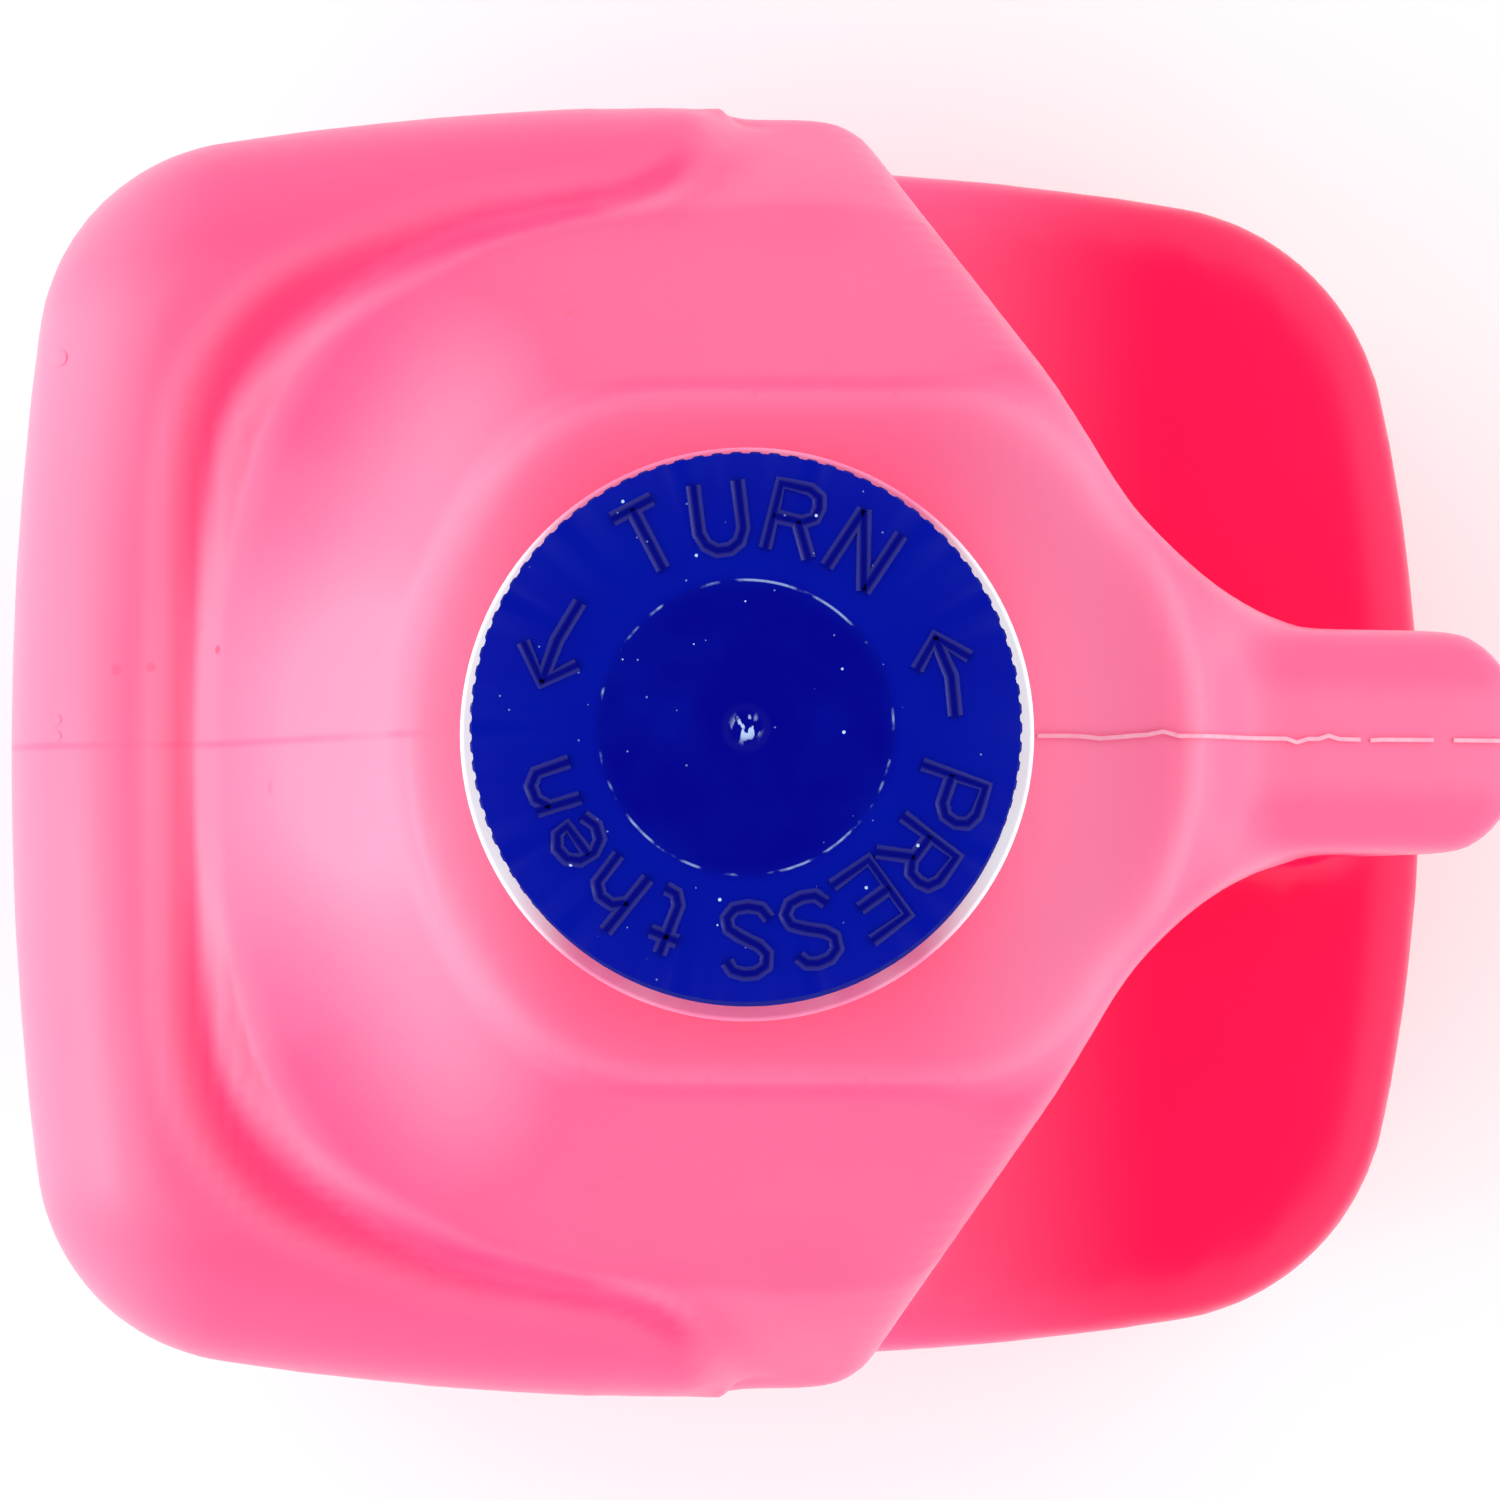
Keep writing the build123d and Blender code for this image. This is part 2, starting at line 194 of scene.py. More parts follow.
def blend_colour(nodes, links, share, first, second):
    """Mix of two colours, each a tuple or a socket."""
    mix = nodes.new("ShaderNodeMix")
    mix.data_type = "RGBA"
    for socket, colour in ((mix.inputs[6], first), (mix.inputs[7], second)):
        if isinstance(colour, tuple):
            socket.default_value = (*colour, 1.0)
        else:
            links.new(colour, socket)
    links.new(share, mix.inputs[0])
    return mix.outputs[2]


def calculate(nodes, links, operation, first, second):
    """Result of a Math node on two values, each a number or a socket."""
    node = nodes.new("ShaderNodeMath")
    node.operation = operation
    for socket, value in ((node.inputs[0], first), (node.inputs[1], second)):
        if isinstance(value, (int, float)):
            socket.default_value = value
        else:
            links.new(value, socket)
    return node.outputs[0]


def bump(nodes, links, shader, height, distance, strength=1.0):
    """Small relief from a height in 0 to 1, deep as the distance."""
    node = nodes.new("ShaderNodeBump")
    node.inputs["Distance"].default_value = distance
    node.inputs["Strength"].default_value = strength
    links.new(height, node.inputs["Height"])
    links.new(node.outputs[0], shader.inputs["Normal"])
    return node


def mesh_object(name, bm):
    """Object at the origin, made from a bmesh, which is freed."""
    mesh = bpy.data.meshes.new(name)
    bm.to_mesh(mesh)
    bm.free()
    made = bpy.data.objects.new(name, mesh)
    bpy.context.scene.collection.objects.link(made)
    return made


bm = bmesh.new()
bmesh.ops.create_grid(bm, x_segments=1, y_segments=1, size=4.0)
floor = mesh_object("floor", bm)
paper, nodes, links, shader = new_material("pale_paper")
cloud = object_noise(nodes, links, 3.0)
paper_colour = blend_colour(nodes, links, cloud, (0.90, 0.96, 0.955), (0.93, 0.985, 0.98))
links.new(paper_colour, shader.inputs["Base Color"])
shader.inputs["Roughness"].default_value = 0.9
floor.data.materials.append(paper)
print("floor is", floor.dimensions.x, "m wide")

# %% [markdown]
# The jug is blow-moulded, so nothing on its outside is sharp: the hot tube of plastic is blown
# against the mould and rounds every inner corner by itself. The CAD solid has crisp lines where
# the crown meets the shoulder. Bevels can't follow such a line round a dozen faces. A voxel
# remesh can: it rebuilds the skin from small even cells, and smoothing then rounds all that is
# smaller than a few cells. Only the outer skin goes through it, because a wall thinner than
# the cells would tear.

# %% Take the outer skin from the CAD solid
_, bottle_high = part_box("bottle")
platform_z = 192 * MM
skin_cut = platform_z - 0.2 * MM
skin = bmesh.new()
skin.from_mesh(cad["bottle"].data)
bmesh.ops.remove_doubles(skin, verts=skin.verts, dist=1e-6)
everything = skin.verts[:] + skin.edges[:] + skin.faces[:]
bmesh.ops.bisect_plane(
    skin, geom=everything, plane_co=(0, 0, skin_cut), plane_no=(0, 0, 1), clear_outer=True,
)


def linked(start):
    """All vertices that hang together with one vertex."""
    found, waiting = {start}, [start]
    while waiting:
        for edge in waiting.pop().link_edges:
            for vert in edge.verts:
                if vert not in found:
                    found.add(vert)
                    waiting.append(vert)
    return found


lowest = min(skin.verts, key=lambda v: v.co.z)
outer_skin = linked(lowest)
bmesh.ops.delete(skin, geom=[v for v in skin.verts if v not in outer_skin], context="VERTS")
rim = [e for e in skin.edges if e.is_boundary]
bmesh.ops.holes_fill(skin, edges=rim, sides=0)
print("outer skin:", len(skin.faces), "faces, open edges:", sum(e.is_boundary for e in skin.edges))

# %% [markdown]
# Now the skin is rebuilt and softened. The cells are 1.3 mm wide, small enough to keep the notches
# and the finger gap, and eight passes of smoothing round what is sharper than a few cells. Both
# are modifiers, and their result is made real, because the next steps move single points of it.

# %% Remesh and smooth the skin
voxel = 1.3 * MM
blend_passes = 8
rough_skin = mesh_object("rough_skin", skin)
remesh = rough_skin.modifiers.new("even_cells", "REMESH")
remesh.mode = "VOXEL"
remesh.voxel_size = voxel
soften = rough_skin.modifiers.new("soft_blends", "SMOOTH")
soften.iterations = blend_passes
soften.factor = 0.5
bpy.context.view_layer.update()
evaluated = rough_skin.evaluated_get(bpy.context.evaluated_depsgraph_get())
bottle_body = bpy.data.objects.new("bottle_body", bpy.data.meshes.new_from_object(evaluated))
bpy.context.scene.collection.objects.link(bottle_body)
bpy.data.objects.remove(rough_skin)
bottle_body.data.materials.clear()
print("soft skin:", len(bottle_body.data.polygons), "faces")

# %% [markdown]
# The foot of the crown is a soft lip with a groove outside it, all the way round from one notch to
# the other. It stiffens the shoulder. The lip isn't a circle or a rectangle: it runs along the
# front, cuts the corner on a slant and flares out to the notch. So its plan is given as a row of
# points, and a smooth curve is drawn through them. Each point of the skin near the level of the
# shoulder is then raised or pressed by how far it lies outside that curve.

# %% Draw the lip of the crown
shoulder_z = 150 * MM
lip_plan = (
    (-48.9, -8), (-48.9, 0), (-48.7, 9), (-48.2, 18), (-46.2, 28.6), (-42.2, 34.6), (-36.0, 39.2),
    (-25.5, 44.0), (-17.5, 46.6), (-10.4, 48.7), (-6.4, 51.0), (-4.0, 54.0), (-2.8, 57.5), (-2.2, 61.0),
)
curve_steps = 10


def smooth_curve(points):
    """Points of a Catmull-Rom curve through a row of points."""
    found = []
    for index in range(1, len(points) - 2):
        before, start, end, after = (Vector(points[index + k]) for k in (-1, 0, 1, 2))
        for step in range(curve_steps):
            t = step / curve_steps
            found.append(0.5 * (
                2 * start + (end - before) * t + (2 * before - 5 * start + 4 * end - after) * t ** 2
                + (3 * start - before - 3 * end + after) * t ** 3
            ))
    return found


lip = smooth_curve(lip_plan)
lip_tree = KDTree(len(lip))
for index, point in enumerate(lip):
    lip_tree.insert((point.x, point.y, 0), index)
lip_tree.balance()


def outside_lip(x, y):
    """Distance in millimetres outside the lip, less than 0 inside, and the place along it, 0 to 1."""
    here = Vector((x / MM, abs(y) / MM))
    _, index, _ = lip_tree.find((here.x, here.y, 0))
    before = lip[max(index - 1, 0)]
    after = lip[min(index + 1, len(lip) - 1)]
    along = (after - before).normalized()
    outwards = Vector((-along.y, along.x))
    return (here - lip[index]).dot(outwards), index / (len(lip) - 1)


def smooth_step(value, low, high):
    """0 below the low limit, 1 above the high one, and smooth in between."""
    share = min(max((value - low) / (high - low), 0), 1)
    return share * share * (3 - 2 * share)


def hump(value, middle, width):
    """1 in the middle, 0 a width away, and smooth in between."""
    return 1 - smooth_step(abs(value - middle), 0, width)


print("lip curve:", len(lip), "points")

# %% [markdown]
# The lip, the groove and the flat ridge outside it are three smooth humps side by side, each
# measured from the curve. On the real jug the groove is shallow along the front, deep and wide
# round the corner, and fades before the notch. It must stay shallower than the wall, or the
# inside would show through its floor.

# %% Press the groove outside the lip
groove_depth = 0.85 * MM
lip_height = 0.30 * MM
ridge_height = 0.30 * MM
groove_low = shoulder_z - 9 * MM
groove_high = shoulder_z + 9 * MM


def groove_shape(x, y, z):
    """Shares of lip, groove and outer ridge at a point of the skin."""
    if z < groove_low or z > groove_high or x > 0:
        return 0, 0, 0
    distance, along = outside_lip(x, y)
    level = hump(z, shoulder_z, 9 * MM) ** 0.3
    corner = hump(along, 0.42, 0.30)
    width = 1.6 + 3.1 * corner
    ends = 1 - smooth_step(along, 0.80, 0.97)
    lip_share = hump(distance, -0.4, 1.8) * ends * level
    depth = 0.45 + 0.55 * smooth_step(along, 0.12, 0.36)
    groove_share = depth * hump(distance, 0.6 + width / 2, width / 2 + 1.2) * ends * level
    ridge_share = hump(distance, width + 2.4, 2.2) * (1 - 0.7 * smooth_step(along, 0.25, 0.5)) * ends * level
    return lip_share, groove_share, ridge_share


pressed = 0
for vertex in bottle_body.data.vertices:
    lip_share, groove_share, ridge_share = groove_shape(*vertex.co)
    if lip_share or groove_share or ridge_share:
        vertex.co.z += lip_height * lip_share + ridge_height * ridge_share - groove_depth * groove_share
        pressed += 1
print("groove shaped in", pressed, "points")

# %% [markdown]
# The sides of the crown swell a little where they meet the body, and the back of the handle sits
# slightly further in than on the CAD solid. Both are small moves of the skin that fade out round
# them. The wall is only 1.2 mm thick and the inside doesn't follow, so the handle is moved by no
# more than a third of that. Moved by three quarters of it, the inside breaks through its corners.

# %% Round the wings and the end of the handle
wing_bulge = 1.1 * MM
wing_x = 4 * MM
wing_z = 150 * MM
handle_trim = 0.4 * MM
for vertex in bottle_body.data.vertices:
    x, y, z = vertex.co
    if abs(y) > 40 * MM and z > 120 * MM:
        bulge = hump(x, wing_x, 11 * MM) * hump(z, wing_z, 26 * MM)
        bulge *= smooth_step(abs(y), 40 * MM, 54 * MM)
        vertex.co.y += (1 if y > 0 else -1) * wing_bulge * bulge
    if z > 100 * MM and abs(y) < 12 * MM:
        vertex.co.x -= handle_trim * smooth_step(x, 58 * MM, 66 * MM) * smooth_step(z, 100 * MM, 125 * MM)
print("wings bulge by", round(wing_bulge / MM, 1), "mm")

# %% [markdown]
# Each end of the lip runs out in a notch. Its corners look rounder than the other edges of the
# jug, so only the points near them are smoothed again, more than the whole skin was.

# %% Soften the notches
notch_x = (-14 * MM, 6 * MM)
notch_y = 46 * MM
notch_z = (132 * MM, 156 * MM)
notch_passes = 14
softer = bmesh.new()
softer.from_mesh(bottle_body.data)
near_notch = [
    v for v in softer.verts
    if notch_x[0] < v.co.x < notch_x[1] and abs(v.co.y) > notch_y and notch_z[0] < v.co.z < notch_z[1]
]
for _ in range(notch_passes):
    bmesh.ops.smooth_vert(
        softer, verts=near_notch, factor=0.5, use_axis_x=True, use_axis_y=True, use_axis_z=True,
    )
softer.to_mesh(bottle_body.data)
softer.free()
print("notches: smoothed", len(near_notch), "points")

# %% [markdown]
# So far the jug is a solid lump. A blown jug is one thin wall, and its inside follows its outside.
# The inner face of the CAD solid is such an inside, so it is closed at the top, raised a little,
# and taken away from the lump. The Boolean modifier does it, and its result replaces the lump.
#
# A count of points, edges and faces then tells whether the wall is whole. The finger gap passes
# through the outer skin and, since the handle is hollow, through the inner one as well, so the
# closed surface has two loops. A hole torn in the wall adds one more, although no edge is open.

# %% Hollow the jug
cavity = bmesh.new()
cavity.from_mesh(cad["bottle"].data)
bmesh.ops.remove_doubles(cavity, verts=cavity.verts, dist=1e-6)
everything = cavity.verts[:] + cavity.edges[:] + cavity.faces[:]
bmesh.ops.bisect_plane(
    cavity, geom=everything, plane_co=(0, 0, skin_cut), plane_no=(0, 0, 1), clear_outer=True,
)
outside = linked(min(cavity.verts, key=lambda v: v.co.z))
bmesh.ops.delete(cavity, geom=[v for v in cavity.verts if v in outside], context="VERTS")
mouth = bmesh.ops.holes_fill(cavity, edges=[e for e in cavity.edges if e.is_boundary], sides=0)["faces"]
bmesh.ops.translate(cavity, verts=[v for f in mouth for v in f.verts], vec=(0, 0, 2 * MM))
bmesh.ops.recalc_face_normals(cavity, faces=cavity.faces)
print("cavity:", round(cavity.calc_volume() / MM ** 3 / 1000), "ml")
cavity_object = mesh_object("cavity", cavity)
hollow = bottle_body.modifiers.new("hollow", "BOOLEAN")
hollow.operation = "DIFFERENCE"
hollow.solver = "MANIFOLD"
hollow.object = cavity_object
bpy.context.view_layer.update()
evaluated = bottle_body.evaluated_get(bpy.context.evaluated_depsgraph_get())
wall_mesh = bpy.data.meshes.new_from_object(evaluated)
bottle_body.modifiers.clear()
bottle_body.data = wall_mesh
bpy.data.objects.remove(cavity_object)
bottle_body.data.materials.clear()
for polygon in bottle_body.data.polygons:
    polygon.use_smooth = True
    polygon.material_index = 0
bottle_body.data.set_sharp_from_angle(angle=radians(50))
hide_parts("bottle")
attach(bottle_body, "jug")
wall_check = bmesh.new()
wall_check.from_mesh(bottle_body.data)
loops = 1 - (len(wall_check.verts) - len(wall_check.edges) + len(wall_check.faces)) // 2
print("wall:", round(wall_check.calc_volume() / MM ** 3 / 1000, 1), "ml of plastic, open edges:",
      sum(not e.is_manifold for e in wall_check.edges))
print("loops:", loops, "of 2 expected, so holes torn in the wall:", loops - 2)
wall_check.free()

# %% [markdown]
# The neck is the one part of a blown jug that the mould shapes on both sides, so it is true and
# crisp: a short stub, the round bead that the jug is held by while it is filled, and the
# finish that takes the closure. A neck is turned from its profile, so the profile is drawn as a
# few points and spun round the axis.

# %% Turn the neck


def turned(name, profile, steps=128):
    """Closed ring of a profile in the XZ plane, spun round the Z axis."""
    bm = bmesh.new()
    corners = [bm.verts.new((x, 0, z)) for x, z in profile]
    edges = [bm.edges.new((a, b)) for a, b in zip(corners, corners[1:] + corners[:1])]
    bmesh.ops.spin(bm, geom=edges, cent=(0, 0, 0), axis=(0, 0, 1), angle=2 * pi, steps=steps, use_merge=True)
    bmesh.ops.remove_doubles(bm, verts=bm.verts, dist=1e-7)
    bmesh.ops.recalc_face_normals(bm, faces=bm.faces)
    return mesh_object(name, bm)


def round_edges(piece, width, segments=3, angle=30):
    """Bevel on every edge sharper than the angle, made real at once."""
    bm = bmesh.new()
    bm.from_mesh(piece.data)
    sharp = [e for e in bm.edges if e.is_manifold and e.calc_face_angle(0) > radians(angle)]
    bmesh.ops.bevel(
        bm, geom=sharp, offset=width, offset_type="OFFSET", affect="EDGES",
        segments=segments, profile=0.5, material=-1, clamp_overlap=True,
    )
    bm.to_mesh(piece.data)
    bm.free()
    for polygon in piece.data.polygons:
        polygon.use_smooth = True


bore = 15.5 * MM
stub = 19.6 * MM
bead_radius = 23.5 * MM
bead_low = 195.8 * MM
bead_high = 198.4 * MM
finish_radius = 17.55 * MM
finish_top = bottle_high[2]
neck = turned("bottle_neck", [
    (bore, platform_z - 0.3 * MM),
    (bore + 0.5 * MM, platform_z - 0.9 * MM),
    (stub + 2.4 * MM, platform_z - 0.9 * MM),
    (stub, platform_z + 1.5 * MM),
    (stub, bead_low),
    (bead_radius, bead_low),
    (bead_radius, bead_high),
    (finish_radius, bead_high),
    (finish_radius, finish_top),
    (bore, finish_top),
])
round_edges(neck, 0.55 * MM)
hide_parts("bottle")
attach(neck, "jug")
print("neck:", len(neck.data.polygons), "faces")

# %% [markdown]
# The closure screws on a thread: one ridge on the finish and one inside the inner shell, both with
# the same pitch, half a turn of pitch apart. A thread is a small profile that is spun and raised
# at the same time. Both ridges are hidden while the closure is on, but the jug is of little use to
# anyone who takes the cap off if it has none.

# %% Cut the threads
thread_pitch = 4.233 * MM
thread_steps = 48


def thread_ridge(name, root, tip, start_z, turns, root_width, tip_width):
    """Ridge that winds up round the Z axis, counter-clockwise seen from above."""
    bm = bmesh.new()
    profile = [
        (root, -root_width / 2), (tip, -tip_width / 2), (tip, tip_width / 2), (root, root_width / 2),
    ]
    corners = [bm.verts.new((x, 0, start_z + z)) for x, z in profile]
    face = bm.faces.new(corners)
    steps = round(turns * thread_steps)
    bmesh.ops.spin(
        bm, geom=[face], cent=(0, 0, 0), axis=(0, 0, 1), angle=turns * 2 * pi, steps=steps,
        dvec=(0, 0, thread_pitch / thread_steps), use_merge=False,
    )
    bmesh.ops.recalc_face_normals(bm, faces=bm.faces)
    return mesh_object(name, bm)


neck_thread = thread_ridge(
    "neck_thread", finish_radius - 0.2 * MM, finish_radius + 1.1 * MM, bead_high + 4.5 * MM, 1.75,
    2.2 * MM, 1.0 * MM,
)
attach(neck_thread, "jug")
shell_thread_radius = 19.05 * MM
shell_thread = thread_ridge(
    "shell_thread", shell_thread_radius + 0.2 * MM, shell_thread_radius - 1.1 * MM,
    bead_high + 6.6 * MM, 1.5, 1.9 * MM, 0.8 * MM,
)
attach(shell_thread, "inner_shell")
for ridge in (neck_thread, shell_thread):
    low = min(v.co.z for v in ridge.data.vertices)
    high = max(v.co.z for v in ridge.data.vertices)
    print(ridge.name, "from", round(low / MM, 2), "to", round(high / MM, 2), "mm")

# %% [markdown]
# The top of the lid is embossed, so its plain part lies a little lower than the tops of the
# letters. The outer shell is a copy of the CAD solid with its lid pressed down by the height of
# the embossing. The tips of its ribs are drawn in a little too, because on the real closure they
# hardly stand out when seen from above. A copy of a CAD mesh is loose triangles, so it is merged
# first.

# %% Make room for the embossing
cap_low, cap_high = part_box("outer_cap")
lid_top = cap_high[2]
emboss = 0.28 * MM
lid_edge = 0.8 * MM
shell = bmesh.new()
shell.from_mesh(cad["outer_cap"].data)
bmesh.ops.remove_doubles(shell, verts=shell.verts, dist=1e-6)
rib_start = 21.45 * MM
rib_keep = 0.55
for vertex in shell.verts:
    reach = vertex.co.to_2d().length
    if reach > rib_start and vertex.co.z > cap_low[2] + 1.3 * MM:
        shrink = (rib_start + (reach - rib_start) * rib_keep) / reach
        vertex.co.x *= shrink
        vertex.co.y *= shrink
    if vertex.co.z > lid_top - lid_edge:
        vertex.co.z -= emboss * smooth_step(vertex.co.z, lid_top - lid_edge, lid_top)
outer_shell = mesh_object("outer_shell_skin", shell)
for polygon in outer_shell.data.polygons:
    polygon.use_smooth = polygon.normal.z < 0.97
outer_shell.data.set_sharp_from_angle(angle=radians(32))
flat_lid = outer_shell.modifiers.new("flat_lid", "WEIGHTED_NORMAL")
flat_lid.keep_sharp = True
flat_lid.weight = 100
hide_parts("outer_cap")
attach(outer_shell, "outer_shell")
lid_face = lid_top - emboss
print("lid face at", round(lid_face / MM, 2), "mm")

# %% [markdown]
# The lid says how it opens, in plain raised words with an arrow after each. An engraver cuts such
# words into the mould with one round cutter, so every stroke has the same width and round ends.
# Each letter here is the path of that cutter, drawn in a box 4 wide and 6 high. A curve with a
# round bevel gives it its body, it is made a mesh, flattened, and set on its own place on the
# circle with its foot towards the middle. Half of each stroke is sunk in the lid.

# %% Engrave the words
letter_height = 5.3 * MM
letter_width = 3.5 * MM
stroke_radius = 0.62 * MM
letter_radius = 14.0 * MM
cutter_paths = {
    "T": (((0, 6), (4, 6)), ((2, 6), (2, 0))),
    "U": (((0, 6), (0, 1.7), (0.5, 0.6), (1.4, 0), (2.6, 0), (3.5, 0.6), (4, 1.7), (4, 6)),),
    "R": (((0, 0), (0, 6), (2.7, 6), (3.7, 5.5), (3.9, 4.6), (3.7, 3.6), (2.7, 3.0), (0, 3.0)),
          ((2.3, 3.0), (4, 0))),
    "N": (((0, 0), (0, 6)), ((0, 6), (4, 0)), ((4, 0), (4, 6))),
    "P": (((0, 0), (0, 6), (2.7, 6), (3.7, 5.5), (4, 4.5), (3.7, 3.4), (2.7, 2.8), (0, 2.8)),),
    "E": (((4, 6), (0, 6), (0, 0), (4, 0)), ((0, 3.1), (3.2, 3.1))),
    "S": (((3.9, 4.9), (3.4, 5.7), (2.4, 6), (1.3, 5.9), (0.4, 5.3), (0.3, 4.2), (1.0, 3.5),
           (2.6, 2.7), (3.7, 2.0), (3.9, 1.0), (3.2, 0.2), (2.0, 0), (0.8, 0.2), (0.1, 1.1)),),
    "t": (((1.6, 5.6), (1.6, 1.0), (2.2, 0.1), (3.2, 0)), ((0.5, 4.0), (3.1, 4.0))),
    "h": (((0.3, 6), (0.3, 0)), ((0.3, 2.8), (1.3, 3.8), (2.6, 3.9), (3.6, 3.1), (3.7, 0))),
    "e": (((0.4, 2.0), (3.7, 2.1), (3.5, 3.3), (2.4, 4.0), (1.2, 3.8), (0.4, 2.9), (0.3, 1.5),
           (1.0, 0.4), (2.2, 0), (3.5, 0.5)),),
    "n": (((0.3, 4), (0.3, 0)), ((0.3, 2.8), (1.3, 3.8), (2.6, 3.9), (3.6, 3.1), (3.7, 0))),
}
words = (("TURN", 117.5, -20.4), ("PRESS", -19.0, -17.6), ("then", 248.0, -17.0))


def raised_strokes(paths):
    """Mesh of round strokes along flat paths in metres, flattened to the height of the embossing."""
    curve = bpy.data.curves.new("strokes", "CURVE")
    curve.dimensions = "3D"
    curve.bevel_depth = stroke_radius
    curve.bevel_resolution = 3
    curve.use_fill_caps = True
    for path in paths:
        spline = curve.splines.new("POLY")
        spline.points.add(len(path) - 1)
        for point, (x, y) in zip(spline.points, path):
            point.co = (x, y, 0, 1)
    drawn = bpy.data.objects.new("strokes", curve)
    bpy.context.scene.collection.objects.link(drawn)
    bpy.context.view_layer.update()
    mesh = bpy.data.meshes.new_from_object(drawn.evaluated_get(bpy.context.evaluated_depsgraph_get()))
    bpy.data.objects.remove(drawn)
    bpy.data.curves.remove(curve)
    top = max(v.co.z for v in mesh.vertices)
    mesh.transform(Matrix.Diagonal((1, 1, emboss / top, 1)))
    return mesh


lettering = bmesh.new()
for word, first_angle, step in words:
    for index, character in enumerate(word):
        mesh = raised_strokes([
            [((x - 2) * letter_width / 4, y * letter_height / 6) for x, y in path]
            for path in cutter_paths[character]
        ])
        turn = Matrix.Rotation(radians(first_angle + index * step - 90), 4, "Z")
        mesh.transform(turn @ Matrix.Translation((0, letter_radius, lid_face)))
        lettering.from_mesh(mesh)
        bpy.data.meshes.remove(mesh)
bmesh.ops.remove_doubles(lettering, verts=lettering.verts, dist=1e-7)
bmesh.ops.recalc_face_normals(lettering, faces=lettering.faces)
lid_words = mesh_object("lid_words", lettering)
words_top = max(v.co.z for v in lid_words.data.vertices)
print("lid words:", len(lid_words.data.polygons), "faces, top", round(words_top / MM, 3))

# %% [markdown]
# Two arrows between the words show the way to turn. The same cutter made them, so they are the
# same strokes along three points each: a slightly bent shaft and a head. Both point
# counter-clockwise, which is the way this closure opens.

# %% Engrave the arrows
arrows = (
    (((-13.0, 9.8), (-14.8, 6.8), (-16.0, 3.5)), ((-17.4, 6.7), (-16.0, 3.5), (-13.2, 4.9))),
    (((16.4, 0.9), (16.1, 4.0), (14.8, 7.1)), ((13.4, 4.5), (14.8, 7.1), (17.5, 5.5))),
)
drawn_arrows = bmesh.new()
for shaft, head in arrows:
    mesh = raised_strokes([[(x * MM, y * MM) for x, y in path] for path in (shaft, head)])
    mesh.transform(Matrix.Translation((0, 0, lid_face)))
    drawn_arrows.from_mesh(mesh)
    bpy.data.meshes.remove(mesh)
bmesh.ops.remove_doubles(drawn_arrows, verts=drawn_arrows.verts, dist=1e-7)
bmesh.ops.recalc_face_normals(drawn_arrows, faces=drawn_arrows.faces)
lid_arrows = mesh_object("lid_arrows", drawn_arrows)
for piece in (lid_words, lid_arrows):
    for polygon in piece.data.polygons:
        polygon.use_smooth = True
    piece.data.set_sharp_from_angle(angle=radians(60))
    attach(piece, "outer_shell")
print("lid arrows:", len(lid_arrows.data.polygons), "faces")

# %% [markdown]
# Where the two halves of the blow mould meet, a thin flash of plastic is pinched out and trimmed,
# which leaves a pale broken ridge along the top of the handle. It is cut from the skin itself: a
# plane through the middle of the skin leaves its outline, the stretch on top is kept, and it is
# pulled sideways into a ribbon and given a thickness.

# %% Trim the mould seam
seam_width = 0.34 * MM
seam_height = 0.26 * MM
seam_nicks = (
    (34.2, 0.45, 1.3), (46.5, -0.5, 0.5), (49.0, 0.35, 0.6), (52.4, -0.4, 0.5), (29.5, -0.25, 2.0),
)
seam_gaps = ((52.0, 53.1), (58.4, 60.6))


def seam_path(keep):
    """Edges of the skin's outline in the plane of the seam, where keep says so of their middle."""
    bm = bmesh.new()
    bm.from_mesh(bottle_body.data)
    whole = bm.verts[:] + bm.edges[:] + bm.faces[:]
    bmesh.ops.bisect_plane(
        bm, geom=whole, plane_co=(0, 0, 0), plane_no=(0, 1, 0), clear_inner=True, clear_outer=True,
    )
    lost = [e for e in bm.edges if not keep((e.verts[0].co + e.verts[1].co) / 2)]
    bmesh.ops.delete(bm, geom=lost, context="EDGES")
    bmesh.ops.delete(bm, geom=[v for v in bm.verts if not v.link_edges], context="VERTS")
    return bm


def on_handle_top(point):
    """True on top of the crown and the handle, and down the handle's back as far as it shows."""
    in_gap = any(low * MM < point.x < high * MM for low, high in seam_gaps)
    return point.x > 24.5 * MM and point.z > 150 * MM and not in_gap and above_grip(point)


def above_grip(point):
    """True outside the ring of the handle, so that the finger gap has no seam here."""
    return point.z > 176 * MM - max(point.x - 44 * MM, 0) * 1.35


seam = seam_path(on_handle_top)
for vertex in seam.verts:
    for nick_x, nick_y, nick_width in seam_nicks:
        vertex.co.y += nick_y * MM * max(0, 1 - abs(vertex.co.x / MM - nick_x) / nick_width)
ribbon = bmesh.ops.extrude_edge_only(seam, edges=seam.edges[:])["geom"]
ribbon_edge = [g for g in ribbon if isinstance(g, bmesh.types.BMVert)]
bmesh.ops.translate(seam, verts=ribbon_edge, vec=(0, seam_width, 0))
bmesh.ops.translate(seam, verts=seam.verts[:], vec=(0, -seam_width / 2, 0))
bmesh.ops.recalc_face_normals(seam, faces=seam.faces)
if sum(f.normal.z for f in seam.faces) > 0:
    bmesh.ops.reverse_faces(seam, faces=seam.faces)
bmesh.ops.solidify(seam, geom=seam.faces[:], thickness=seam_height)
bmesh.ops.recalc_face_normals(seam, faces=seam.faces)
handle_seam = mesh_object("handle_seam", seam)
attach(handle_seam, "jug")
seam_corners = (handle_seam.bound_box[0], handle_seam.bound_box[6])
print("seam:", len(handle_seam.data.polygons), "faces, box",
      [tuple(round(c / MM, 1) for c in corner) for corner in seam_corners])

